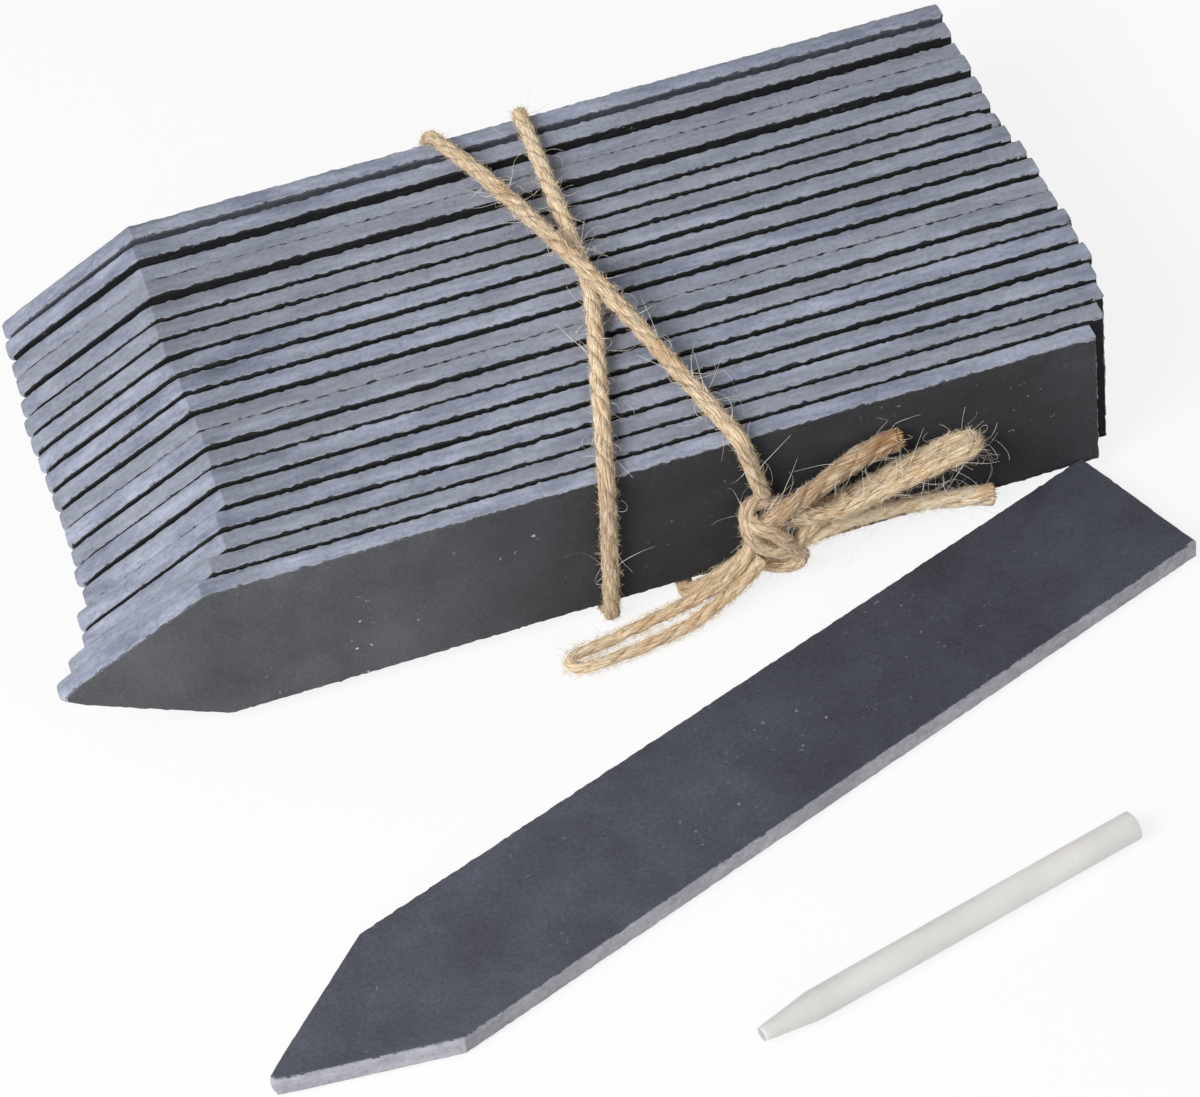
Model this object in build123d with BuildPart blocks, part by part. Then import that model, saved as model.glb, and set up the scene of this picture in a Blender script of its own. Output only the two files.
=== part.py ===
from build123d import *

import os
from math import cos, pi, radians, sin, tan

# A set of riven slate plant label stakes: nineteen stand on their long edges in a bundle tied
# with two turns of jute twine and a bow, one lies loose in front, beside a slate pencil.
# X runs along the bundled stakes from their points to their square ends, Y runs back through
# the bundle, and Z is up. Lengths are in millimetres and angles in degrees.

# One stake
stake_length = 200.0
stake_width = 31.0
stake_thickness = 5.0
point_length = 29.5
tip_flat = 1.4
front_chip = 0.55
back_chip = 0.25
worn_shoulder = 9.0
worn_end_corner = 3.0

# The bundle: how far the foremost tip stands ahead of the others, how much one stake may be
# wider than the next, and the mean gap that the uneven riven faces leave between two stakes
tip_stagger = 8.0
width_step = 1.0
riven_gap = 0.6

# One row for each tied stake, from the back of the bundle to the front: the setback of its
# tip, its length, its extra width, its thickness and the gap in front of it
bundle_shares = (
    (1.00, 1.003, 0.8, 0.98, 1.6),
    (0.94, 1.003, 0.4, 1.04, 1.5),
    (0.95, 1.002, -0.6, 1.00, 0.8),
    (0.95, 1.002, 0.3, 1.08, 1.5),
    (0.90, 1.004, -0.6, 1.04, 1.3),
    (0.85, 1.004, -0.4, 1.02, 1.2),
    (0.88, 1.005, -0.2, 1.00, 1.0),
    (0.93, 1.001, -0.2, 1.02, 1.0),
    (0.97, 1.005, -0.4, 1.02, 1.2),
    (1.00, 1.005, -0.4, 1.00, 1.0),
    (1.04, 1.002, -0.7, 1.00, 0.8),
    (1.05, 1.000, 0.1, 1.02, 1.0),
    (1.06, 1.003, -0.2, 0.96, 1.0),
    (1.00, 1.001, 0.1, 1.02, 1.0),
    (1.06, 1.001, 0.0, 1.02, 1.2),
    (0.78, 1.006, -0.1, 1.00, 1.0),
    (0.76, 1.002, -0.1, 1.00, 0.8),
    (0.30, 1.010, 0.0, 0.96, 0.8),
    (-0.10, 1.008, 0.1, 0.94, 0.0),
)
worn_shoulder_stake = 8
worn_end_stake = 7

# The loose stake leans its far corner on the bundle's front. The slate pencil lies in front
# of it, placed by the middle of its pointed end
loose_thickness = 4.2
loose_turn = 21.1
loose_clearance = 0.5
loose_corner_share = 0.985
pencil_length = 77.4
pencil_diameter = 5.3
pencil_tip_diameter = 2.7
pencil_taper = 10.4
pencil_end_round = 0.6
pencil_tip_x = 96.7
pencil_tip_y = -106.8
pencil_turn = 14.6

# Three-ply jute twine. It is pressed flat where the bundle stands on it, it bends round the
# sawn edges of the outer stakes and where it crosses itself, and it is drawn down a little in
# the knot. Twelve flat sides stand for its round section, which keeps its many bends light
twine_diameter = 3.3
knot_twine_diameter = 3.0
twine_sides = 12
pressed_flat = 0.5
twine_clearance = 0.2
edge_bend = 2.3
crossing_bend = 8.0
strand_gap = 0.5
run_share = 0.45

# Where the two turns cross the edges of the bundle, as shares of a stake's length
first_front_top_share = 0.653
first_back_top_share = 0.497
first_back_foot_share = 0.485
first_front_foot_share = 0.510
second_front_top_share = 0.524
second_back_top_share = 0.597
second_back_foot_share = 0.620
second_front_foot_share = 0.585

# Where the first turn crosses over the second on top of the bundle, how far it stays up to
# each side, and where it bends once more behind, as shares of a stake's length and the depth
crossing_x_share = 0.5865
crossing_y_share = 0.456
hump_share = 0.055
rear_bend_x_share = 0.538
rear_bend_y_share = 0.832

# Where the knot of the bow lies along the stakes, and where the two turns reach it
knot_x_share = 0.668
knot_top = 21.4
knot_foot = 6.7
knot_foot_setback = 3.2

# The twine of the knot and of the four stretches of the bow, as points chosen by hand along
# the photographed twine: from the knot's middle along X, from the bundle's front along Y and
# up from the surface along Z
bow_routes = {
    "twine_knot": [
        (6.4, -1.9, 15.6),
        (2.6, -1.8, 17.8),
        (-1.2, -1.9, 19.9),
        (-3.7, -3.2, 20.6),
        (-4.8, -5.3, 18.3),
        (-4.1, -5.9, 14.8),
        (-1.8, -6.0, 11.5),
        (1.2, -5.9, 9.6),
        (3.6, -5.7, 8.9),
        (5.6, -5.3, 7.0),
        (5.0, -4.8, 4.5),
        (1.3, -4.4, 3.8),
        (-2.1, -3.8, 6.0),
    ],
    "bow_loop_left": [
        (-2.4, -2.6, 12.0),
        (-5.2, -4.0, 9.8),
        (-9.6, -5.7, 8.4),
        (-16.0, -6.8, 6.6),
        (-26.0, -6.5, 4.0),
        (-35.5, -6.9, 2.0),
        (-45.2, -8.2, 1.7),
        (-44.4, -14.5, 2.7),
        (-35.0, -13.6, 2.3),
        (-27.5, -12.6, 1.9),
        (-19.4, -11.2, 1.9),
        (-11.6, -9.1, 3.4),
        (-6.0, -6.5, 5.0),
        (-2.4, -5.4, 7.2),
    ],
    "bow_loop_right": [
        (2.4, -1.9, 14.0),
        (10.6, -2.1, 12.9),
        (19.4, -2.1, 15.8),
        (29.0, -2.1, 18.8),
        (40.8, -2.2, 21.6),
        (40.2, -8.3, 23.6),
        (29.4, -7.4, 21.0),
        (19.4, -6.4, 17.0),
        (10.6, -6.0, 14.8),
        (4.2, -5.0, 16.6),
    ],
    "twine_end_upper": [
        (-0.4, -3.7, 18.4),
        (1.4, -4.8, 20.2),
        (4.4, -4.9, 20.8),
        (9.5, -3.9, 21.5),
        (16.5, -2.8, 23.8),
        (22.5, -2.2, 25.5),
        (28.4, -2.1, 26.3),
    ],
    "twine_end_lower": [
        (-1.3, -3.9, 15.6),
        (0.6, -5.2, 14.6),
        (3.0, -5.2, 12.4),
        (6.2, -4.6, 10.9),
        (10.5, -4.4, 10.0),
        (18.5, -3.4, 9.8),
        (31.0, -2.3, 7.4),
        (44.2, -2.1, 4.6),
    ],
}


twine_radius = twine_diameter / 2
bundle_foot = twine_diameter - pressed_flat + twine_clearance
strand_offset = twine_radius + twine_clearance


def stake_back(number):
    """How far back the rear face of a tied stake lies, counted from the bundle's front."""
    depth = 0
    for _, _, _, thickness_share, gap_share in bundle_shares[number - 1:]:
        depth += stake_thickness * thickness_share + riven_gap * gap_share
    return depth


def stake_blank(plane, length, width, thickness, worn=None):
    """A pointed slate blank, its tip at the plane's origin, with chipped edges both sides."""
    half_width = width / 2
    with BuildPart() as blank:
        with BuildSketch(plane) as outline:
            with BuildLine():
                Polyline(
                    (0, -tip_flat / 2),
                    (point_length, -half_width),
                    (length, -half_width),
                    (length, half_width),
                    (point_length, half_width),
                    (0, tip_flat / 2),
                    close=True,
                )
            make_face()
            if worn == "shoulder":
                corner = outline.vertices().sort_by(Axis.X)[2:4].sort_by(Axis.Y)[-1]
                fillet(corner, worn_shoulder)
            if worn == "end":
                corner = outline.vertices().sort_by(Axis.X)[-2:].sort_by(Axis.Y)[-1]
                fillet(corner, worn_end_corner)
        extrude(amount=thickness)
        faces = blank.faces().sort_by(Axis(plane.origin, plane.z_dir))
        front_edges = faces[-1].edges()
        back_edges = faces[0].edges()
        chamfer(front_edges, front_chip)
        chamfer(back_edges, back_chip)
    return blank


def free_radii(points):
    """The largest even bend that each corner of a free route has room for."""
    radii = []
    for before, corner, after in zip(points, points[1:], points[2:]):
        run_in = Vector(corner) - Vector(before)
        run_out = Vector(after) - Vector(corner)
        turn = radians(run_in.get_angle(run_out))
        radii.append(run_share * min(run_in.length, run_out.length) / tan(turn / 2))
    return radii


def least_gap(wire, diameter):
    """The least gap between two stretches of one tube, measured on points along it."""
    count = int(wire.length / (diameter / 4))
    places = [wire @ (step / count) for step in range(count + 1)]
    apart = int(pi * diameter / (wire.length / count))
    nearest = min(
        (places[i] - places[j]).length
        for i in range(len(places))
        for j in range(i + apart, len(places))
    )
    return nearest - diameter


def twine_tube(name, points, radii, diameter):
    """A tube of twine along straight runs joined by tangent arcs."""
    with BuildPart() as tube:
        with BuildLine() as path:
            FilletPolyline(*points, radius=radii)
        with BuildSketch(Plane(path.wire() @ 0, z_dir=path.wire() % 0)) as section:
            RegularPolygon(diameter / 2, twine_sides)
        sweep()
    length = path.wire().length
    share = tube.part.volume / (section.sketch.area * length)
    print(name, "length", round(length, 1), "volume share", round(share, 4))
    print("  bends", [round(radius, 1) for radius in radii])
    print("  least gap to itself", round(least_gap(path.wire(), diameter), 2))
    return tube


pieces = {}

# The tied stakes, each drawn on its rear face and given its thickness towards the front
for number, shares in enumerate(bundle_shares, start=1):
    setback_share, length_share, width_share, thickness_share, _ = shares
    width = stake_width + width_step * width_share
    worn = None
    if number == worn_shoulder_stake:
        worn = "shoulder"
    if number == worn_end_stake:
        worn = "end"
    rear_face = Plane(
        origin=(tip_stagger * setback_share, stake_back(number), bundle_foot + width / 2),
        x_dir=(1, 0, 0),
        z_dir=(0, -1, 0),
    )
    stake = stake_blank(
        rear_face,
        stake_length * length_share,
        width,
        stake_thickness * thickness_share,
        worn,
    )
    pieces[f"stake_{number:02d}"] = stake.part

# The loose stake lies flat, with its face up, and is placed by the corner that leans
loose_along = Vector(cos(radians(loose_turn)), sin(radians(loose_turn)), 0)
loose_across = Vector(-loose_along.Y, loose_along.X, 0)
loose_corner = Vector(stake_length * loose_corner_share, -loose_clearance, 0)
loose_tip = loose_corner - loose_along * stake_length - loose_across * (stake_width / 2)
loose_plane = Plane(origin=loose_tip, x_dir=loose_along, z_dir=(0, 0, 1))
loose_stake = stake_blank(loose_plane, stake_length, stake_width, loose_thickness)
pieces["loose_stake"] = loose_stake.part
print("loose stake's tip", round(loose_tip.X, 3), round(loose_tip.Y, 3))

# The slate pencil is turned round, with a cut taper that ends blunt
pencil_along = (cos(radians(pencil_turn)), sin(radians(pencil_turn)), 0)
pencil_plane = Plane(
    origin=(pencil_tip_x, pencil_tip_y, pencil_diameter / 2),
    x_dir=pencil_along,
    z_dir=(pencil_along[1], -pencil_along[0], 0),
)
with BuildPart() as slate_pencil:
    with BuildSketch(pencil_plane) as pencil_half:
        with BuildLine():
            Polyline(
                (0, 0),
                (0, pencil_tip_diameter / 2),
                (pencil_taper, pencil_diameter / 2),
                (pencil_length, pencil_diameter / 2),
                (pencil_length, 0),
                close=True,
            )
        make_face()
    revolve(axis=Axis(pencil_plane.origin, pencil_plane.x_dir))
    end_face = slate_pencil.faces().sort_by(Axis(pencil_plane.origin, pencil_plane.x_dir))[-1]
    fillet(end_face.edges(), pencil_end_round)
pieces["slate_pencil"] = slate_pencil.part

# The winding: from the knot up and over the top, round the back, up the front, over the top
# under its first turn, and round the back again to the knot, as one unbroken twine. It is
# tight, so it bends at the bundle's edges and where it passes over itself
bundle_depth = stake_back(1)
bundle_top = bundle_foot + stake_width + width_step * max(row[2] for row in bundle_shares)
front_y = -strand_offset
back_y = bundle_depth + strand_offset
over_z = bundle_top + strand_offset
under_z = twine_radius - pressed_flat
front_over_z = over_z - width_step / 2
hump_z = over_z + twine_diameter + strand_gap
knot_x = stake_length * knot_x_share
crossing_x = stake_length * crossing_x_share
crossing_y = bundle_depth * crossing_y_share
hump_reach = bundle_depth * hump_share
rear_bend_x = stake_length * rear_bend_x_share
rear_bend_y = bundle_depth * rear_bend_y_share
hump_lean = (stake_length * first_front_top_share - rear_bend_x) / (rear_bend_y - front_y)
winding_course = [
    ("end", knot_x, front_y, knot_top),
    ("edge", stake_length * first_front_top_share, front_y, front_over_z),
    ("crossing", crossing_x + hump_reach * hump_lean, crossing_y - hump_reach, hump_z),
    ("crossing", crossing_x - hump_reach * hump_lean, crossing_y + hump_reach, hump_z),
    ("free", rear_bend_x, rear_bend_y, over_z),
    ("edge", stake_length * first_back_top_share, back_y, over_z),
    ("edge", stake_length * first_back_foot_share, back_y, under_z),
    ("edge", stake_length * first_front_foot_share, front_y, under_z),
    ("edge", stake_length * second_front_top_share, front_y, front_over_z),
    ("crossing", crossing_x, crossing_y, over_z),
    ("edge", stake_length * second_back_top_share, back_y, over_z),
    ("edge", stake_length * second_back_foot_share, back_y, under_z),
    ("edge", stake_length * second_front_foot_share, front_y, under_z),
    ("end", knot_x - knot_foot_setback, front_y, knot_foot),
]
winding_points = [(x, y, z) for _, x, y, z in winding_course]
tight_bends = {"edge": edge_bend, "crossing": crossing_bend}
winding_radii = [
    tight_bends.get(kind, free_radius)
    for (kind, _, _, _), free_radius in zip(winding_course[1:-1], free_radii(winding_points))
]
winding = twine_tube("twine_winding", winding_points, winding_radii, twine_diameter)
with BuildPart() as twine_winding:
    add(winding.part)
    split(bisect_by=Plane.XY, keep=Keep.TOP)
pieces["twine_winding"] = twine_winding.part

# The knot and the bow
for name, route in bow_routes.items():
    diameter = twine_diameter
    if name == "twine_knot":
        diameter = knot_twine_diameter
    points = [(knot_x + along, out, up) for along, out, up in route]
    pieces[name] = twine_tube(name, points, free_radii(points), diameter).part

# The origin is on the surface, under the middle of everything but the free twine
free_twine = ("bow_loop_left", "bow_loop_right", "twine_end_upper", "twine_end_lower")
held = Compound([part for name, part in pieces.items() if name not in free_twine])
middle = held.bounding_box().center()
to_origin = Location((-middle.X, -middle.Y, 0))
print("origin in the bundle's own frame", round(middle.X, 4), round(middle.Y, 4))

os.makedirs("parts", exist_ok=True)
for name, part in pieces.items():
    placed = part.moved(to_origin)
    placed.label = name
    export_step(placed, f"parts/{name}.step")
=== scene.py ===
import math
import random

import bmesh
import bpy
import numpy as np
from mathutils import Matrix, Vector, noise


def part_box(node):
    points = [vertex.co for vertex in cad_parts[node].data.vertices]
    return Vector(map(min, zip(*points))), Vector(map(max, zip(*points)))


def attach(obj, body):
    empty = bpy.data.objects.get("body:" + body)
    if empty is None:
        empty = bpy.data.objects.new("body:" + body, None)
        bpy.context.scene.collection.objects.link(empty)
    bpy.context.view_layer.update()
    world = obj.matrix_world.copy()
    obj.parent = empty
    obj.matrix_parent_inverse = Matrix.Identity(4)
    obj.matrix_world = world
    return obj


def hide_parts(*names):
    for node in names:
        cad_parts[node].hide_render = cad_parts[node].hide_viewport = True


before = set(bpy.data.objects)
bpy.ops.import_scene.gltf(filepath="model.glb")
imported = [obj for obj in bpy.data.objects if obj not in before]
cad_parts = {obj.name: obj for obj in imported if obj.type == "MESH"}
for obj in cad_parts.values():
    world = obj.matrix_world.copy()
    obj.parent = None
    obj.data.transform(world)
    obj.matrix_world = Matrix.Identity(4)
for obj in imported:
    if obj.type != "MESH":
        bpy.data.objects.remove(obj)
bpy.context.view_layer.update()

# Nineteen riven slate plant stakes stand on their long edges, tied with jute twine in two turns
# and a bow. One more lies loose in front of them beside a slate pencil. All lengths below are
# written in millimetres and turned to metres by MM, angles are in degrees.
MM = 0.001

# One stake, as the source has it. Less is bevelled off its front rim, since flakes follow
STAKE_LENGTH = 200.0
STAKE_WIDTH = 31.0
STAKE_THICKNESS = 5.0
POINT_LENGTH = 29.5
TIP_FLAT = 1.4
FRONT_CHIP = 0.36
BACK_CHIP = 0.3
# The nose is knocked off this far at the least and at the most. That and a worn corner fade
# out over this reach
NOSE_KNOCK = (0.75, 1.85)
NOSES = random.Random(7)
WORN_REACH = 4.0

# Rings of faces inside each riven face's rim, from the outside in, that the flakes eat into
RIM_RINGS = (0.3, 0.4, 0.5)
NOSE_GAP = 0.1
NOSE_REACH = 10.0
# Points this near a riven face belong to its rim
RIM_DEPTH = 0.52
# Faces larger than this make up the two riven faces, which stay flat
WIDE_FACE = 5 * MM ** 2
# Points this near to a plane lie in it, in metres
TOUCH = 1e-6

# The loose stake leans this corner on the bundle and rests on the high spots of its riven
# back, and the pencil lies in front of it
LOOSE_CORNER = (197.0, -0.05)
LOOSE_TURN = 21.1
LOOSE_THICKNESS = 4.5
LOOSE_RISE = 0.5
LOOSE_WEAR = 0.4
PENCIL_TIP = (96.7, -106.8)
PENCIL_TURN = 14.6
PENCIL_LENGTH = 77.4
PENCIL_DIAMETER = 5.54
PENCIL_TIP_DIAMETER = 2.7
PENCIL_TAPER = 10.4

# The bundle's own zero is on the surface, below the foremost stake's front face, 0.8 mm
# behind that stake's tip along X
front_low, front_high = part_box("stake_19")
back_low, back_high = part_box("stake_01")
BUNDLE_ZERO = Vector((front_low.x + 0.8 * MM, front_low.y, 0))

# Jute twine: how wide it is, how far one ply goes round it, and where the knot sits
TWINE = 3.3
KNOT_TWINE = 3.0
LAY_PITCH = 16.0
KNOT_PITCH = 13.0
KNOT_X = 133.6

# How far each ply's middle lies off the twine's, as a share of the radius, how many points go
# round it, how far apart the rings are, and how far a cut end swells out
PLY_OFFSET = 0.29
PLY_SIDES = 14
RING_SPACING = 0.36
END_SWELL = 0.5
# How unevenly the plies turn, swell and wear, each with the length that it varies over
SLACK, SLACK_OVER = 0.1, 11.0
LUMP, LUMP_OVER = 0.13, 4.5
RUB, RUB_OVER = 0.09, 1.9

# The twine's routes. The winding is in the bundle's own frame, and three points go round
# each sawn edge. The rest start from the knot: along X, out from the front face, up
WINDING = [
    (133.6, -1.85, 21.4),
    (131.6, -1.85, 31.0), (130.6, -1.85, 36.15), (129.3, 3.15, 36.6),
    (118.8, 43.1, 40.45), (115.8, 54.9, 40.45),
    (107.6, 89.4, 36.65),
    (102.0, 103.9, 36.35), (100.3, 108.85, 35.95), (99.6, 109.05, 30.9),
    (97.35, 109.27, 6.35), (97.0, 109.27, 1.15), (97.2, 104.1, 1.15),
    (101.8, 3.35, 1.15), (102.0, -1.85, 1.15), (102.4, -1.85, 6.35),
    (104.4, -1.85, 30.95), (104.8, -1.85, 36.15), (106.05, 3.2, 36.2),
    (114.4, 37.3, 36.55), (117.3, 49.0, 36.65), (117.75, 61.0, 36.65),
    (119.2, 103.5, 36.05), (119.4, 108.85, 35.65), (120.05, 109.05, 30.9),
    (123.35, 109.27, 6.3), (124.0, 109.27, 1.15), (123.7, 104.1, 1.15),
    (117.3, 3.35, 1.15), (117.0, -1.85, 1.15), (121.8, -1.85, 3.15),
    (130.4, -1.85, 6.7),
]
KNOT = [
    (6.4, -1.9, 15.6), (2.6, -1.8, 17.8), (-1.2, -1.9, 19.9), (-3.7, -3.2, 20.6),
    (-4.8, -5.3, 18.3), (-4.1, -5.9, 14.8), (-1.8, -6.0, 11.5), (1.2, -5.9, 9.6),
    (3.6, -5.7, 8.9), (5.6, -5.3, 7.0), (5.0, -4.8, 4.5), (1.3, -4.4, 3.8),
    (-2.1, -3.8, 6.0),
]
LOOP_LEFT = [
    (-2.4, -2.6, 12.0), (-5.2, -4.4, 9.0), (-9.6, -6.3, 7.2), (-16.0, -7.6, 5.6),
    (-26.0, -8.0, 3.6), (-34.5, -8.3, 1.9), (-42.9, -9.3, 1.7), (-42.3, -13.4, 2.2),
    (-35.0, -12.9, 1.8), (-27.5, -11.8, 1.6), (-19.4, -10.6, 1.9), (-11.6, -8.7, 4.2),
    (-6.0, -6.5, 6.0), (-2.4, -5.4, 8.2),
]
LOOP_RIGHT = [
    (2.4, -1.9, 14.0), (10.6, -2.1, 12.9), (19.4, -2.1, 15.8), (29.0, -2.1, 18.8),
    (40.8, -2.2, 21.6), (40.2, -8.3, 23.6), (29.4, -7.4, 21.0), (19.4, -6.4, 17.0),
    (10.6, -6.0, 14.8), (4.2, -5.0, 16.6),
]
END_UPPER = [
    (-1.9, -4.2, 16.4), (-0.4, -5.7, 17.7), (2.6, -5.7, 19.3), (8.6, -4.5, 20.8),
    (16.2, -2.9, 23.5), (21.8, -2.3, 25.2), (26.4, -2.1, 25.7),
]
END_LOWER = [
    (0.6, -3.0, 9.6), (3.2, -4.4, 8.2), (6.4, -4.9, 10.0), (10.5, -4.4, 10.2),
    (18.5, -3.4, 9.8), (31.0, -2.3, 7.9), (44.2, -2.1, 4.6),
]
# More turns of the knot's own twine: the fold in front, the bight's root under it, and a
# strand between them
KNOT_FOLDS = (
    [(-4.2, -4.2, 19.2), (-3.6, -6.2, 18.0), (-0.9, -7.0, 16.8), (1.3, -7.0, 14.2),
     (3.3, -6.4, 10.6), (4.6, -4.6, 8.4)],
    [(3.6, -4.4, 7.4), (4.2, -5.4, 9.2), (5.4, -5.6, 11.4), (8.0, -5.0, 13.2),
     (12.0, -4.2, 14.6), (16.0, -3.6, 15.8)],
    [(-2.6, -3.2, 15.2), (0.0, -3.8, 13.8), (3.0, -3.6, 14.4), (6.5, -3.4, 15.4)],
)

# The camera's heading, downward tilt and roll, its place in the bundle's own frame, and its
# focal length in pixels of a frame this wide
CAMERA_TURNS = (10.53, 44.63, -8.85)
CAMERA_STAND = (8.46, -503.12, 522.92)
FOCAL_PIXELS = 3883.28
FRAME_PIXELS = 1200
SENSOR_WIDTH = 36

# Each softbox: its place and the point that it faces in metres, its side and its power
SOFTBOXES = (
    ("key_softbox", (-0.68, -0.48, 0.74), (0, 0, 0.02), 0.55, 12.5),
    ("fill_softbox", (0.4, -1.1, 0.8), (0, 0, 0.02), 0.8, 1.6),
)


def in_bundle(x, y, z):
    """A point of the bundle's own frame, in millimetres, as a place in the model."""
    return BUNDLE_ZERO + Vector((x, y, z)) * MM


def from_knot(points):
    """Points counted from the knot, as places in the model."""
    return [in_bundle(KNOT_X + x, y, z) for x, y, z in points]


def placed(x_way, y_way, z_way, origin):
    """The transform that takes the axes to three directions and zero to a place."""
    return Matrix((*zip(x_way, y_way, z_way, origin), (0, 0, 0, 1)))


def lying_ways(turn):
    """The directions along and across something that lies turned by an angle."""
    turn = math.radians(turn)
    return (Vector((math.cos(turn), math.sin(turn), 0)),
            Vector((-math.sin(turn), math.cos(turn), 0)))


# Colours and nodes

def colour(written):
    """The linear colour of a hex value written in sRGB."""
    channels = [int(written[i:i + 2], 16) / 255 for i in (1, 3, 5)]
    linear = [c / 12.92 if c <= 0.04045 else ((c + 0.055) / 1.055) ** 2.4 for c in channels]
    return (*linear, 1)


def node(tree, kind, inputs, **settings):
    """Adds a node with its settings. Each input gets a value, a socket or a node's result."""
    made = tree.nodes.new("ShaderNode" + kind)
    for name, value in settings.items():
        setattr(made, name, value)
    for name, value in inputs.items():
        if isinstance(value, bpy.types.Node):
            value = next(socket for socket in value.outputs if socket.enabled)
        if isinstance(value, bpy.types.NodeSocket):
            tree.links.new(value, made.inputs[name])
        else:
            made.inputs[name].default_value = value
    return made


def emptied(owner):
    """The node tree of a material or a world, with nothing in it."""
    owner.use_nodes = True
    owner.node_tree.nodes.clear()
    return owner.node_tree


def new_material(name):
    """An empty material, its tree and the object's own coordinates."""
    material = bpy.data.materials.new(name)
    tree = emptied(material)
    return material, tree, node(tree, "TexCoord", {}).outputs["Object"]


def surfaced(material, surface):
    """Gives a material its shader, set or linked as the surface says, and returns it."""
    tree = material.node_tree
    shader = node(tree, "BsdfPrincipled", surface)
    node(tree, "OutputMaterial", {"Surface": shader})
    return material


def patches(tree, place, scale, detail, roughness, levels, shares=(0.0, 1.0)):
    """Cloud noise, and a share that goes from one value to another between two of its levels."""
    cloud = node(tree, "TexNoise", {"Vector": place, "Scale": scale, "Detail": detail,
                                    "Roughness": roughness})
    share = node(tree, "MapRange", {"Value": cloud, "From Min": levels[0],
                                    "From Max": levels[1], "To Min": shares[0],
                                    "To Max": shares[1]})
    return cloud, share


def slate_riven(name, dark, light, speck_share, fade):
    """Slate as it splits: matt, dark, with a fine grain, faint ripples and pale mica specks."""
    material, tree, place = new_material(name)
    _, shade = patches(tree, place, 1000 / 16, 8.0, 0.62, (0.32, 0.68))
    body = node(tree, "Mix", {0: shade, 6: colour(dark), 7: colour(light)}, data_type="RGBA")
    # Grain of about 0.35 mm, coarser than real slate's so that it shows
    grain, grain_light = patches(tree, place, 1000 / 0.7, 3.0, 0.7, (0.3, 0.7), (0.8, 1.2))
    # Painted light and shade: the colour fades along X, and is lifted at the end
    reach = node(tree, "SeparateXYZ", {"Vector": place})
    fall, rise = (
        node(tree, "MapRange", {"Value": reach, "From Min": start * MM, "From Max": stop * MM,
                                "To Min": left, "To Max": right},
             interpolation_type="SMOOTHSTEP")
        for start, stop, left, right in fade)
    painted_light_and_shade = node(tree, "Math", {0: fall, 1: rise}, operation="ADD")
    strength = node(tree, "Math", {0: painted_light_and_shade, 1: grain_light}, operation="MULTIPLY")
    grained = node(tree, "VectorMath", {0: body, "Scale": strength}, operation="SCALE")
    # Pale chipped spots of about 0.4 mm, gathered in loose swarms
    _, dot = patches(tree, place, 1000 / 1.1, 1.0, 0.4, (0.72, 0.80))
    _, swarm = patches(tree, place, 1000 / 18, 2.0, 0.5, (0.50, 0.66), (0.0, speck_share))
    speck = node(tree, "Math", {0: dot, 1: swarm}, operation="MULTIPLY")
    specked = node(tree, "Mix", {0: speck, 6: grained, 7: colour("#c6c8cf")}, data_type="RGBA")
    # Scuffs: a few short pale strokes
    long_way = node(tree, "Mapping", {"Vector": place, "Rotation": (0.3, 0.5, 0.7),
                                      "Scale": (0.35, 1, 1)})
    _, scuff = patches(tree, long_way, 1000 / 1.2, 3.0, 0.6, (0.70, 0.80), (0.0, 0.3))
    scuffed = node(tree, "Mix", {0: scuff, 6: specked, 7: colour("#8b8d96")}, data_type="RGBA")
    ripple = node(tree, "TexNoise", {"Vector": place, "Scale": 1000 / 7, "Detail": 5.0,
                                     "Roughness": 0.6, "Distortion": 0.6})
    waves = node(tree, "Bump", {"Strength": 0.5, "Distance": 0.5 * MM, "Height": ripple})
    bumps = node(tree, "Bump", {"Strength": 0.55, "Distance": 0.12 * MM, "Height": grain,
                                "Normal": waves})
    return surfaced(material, {"Base Color": scuffed, "Roughness": 0.78, "IOR": 1.5,
                               "Specular IOR Level": 0.35, "Normal": bumps})


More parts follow.
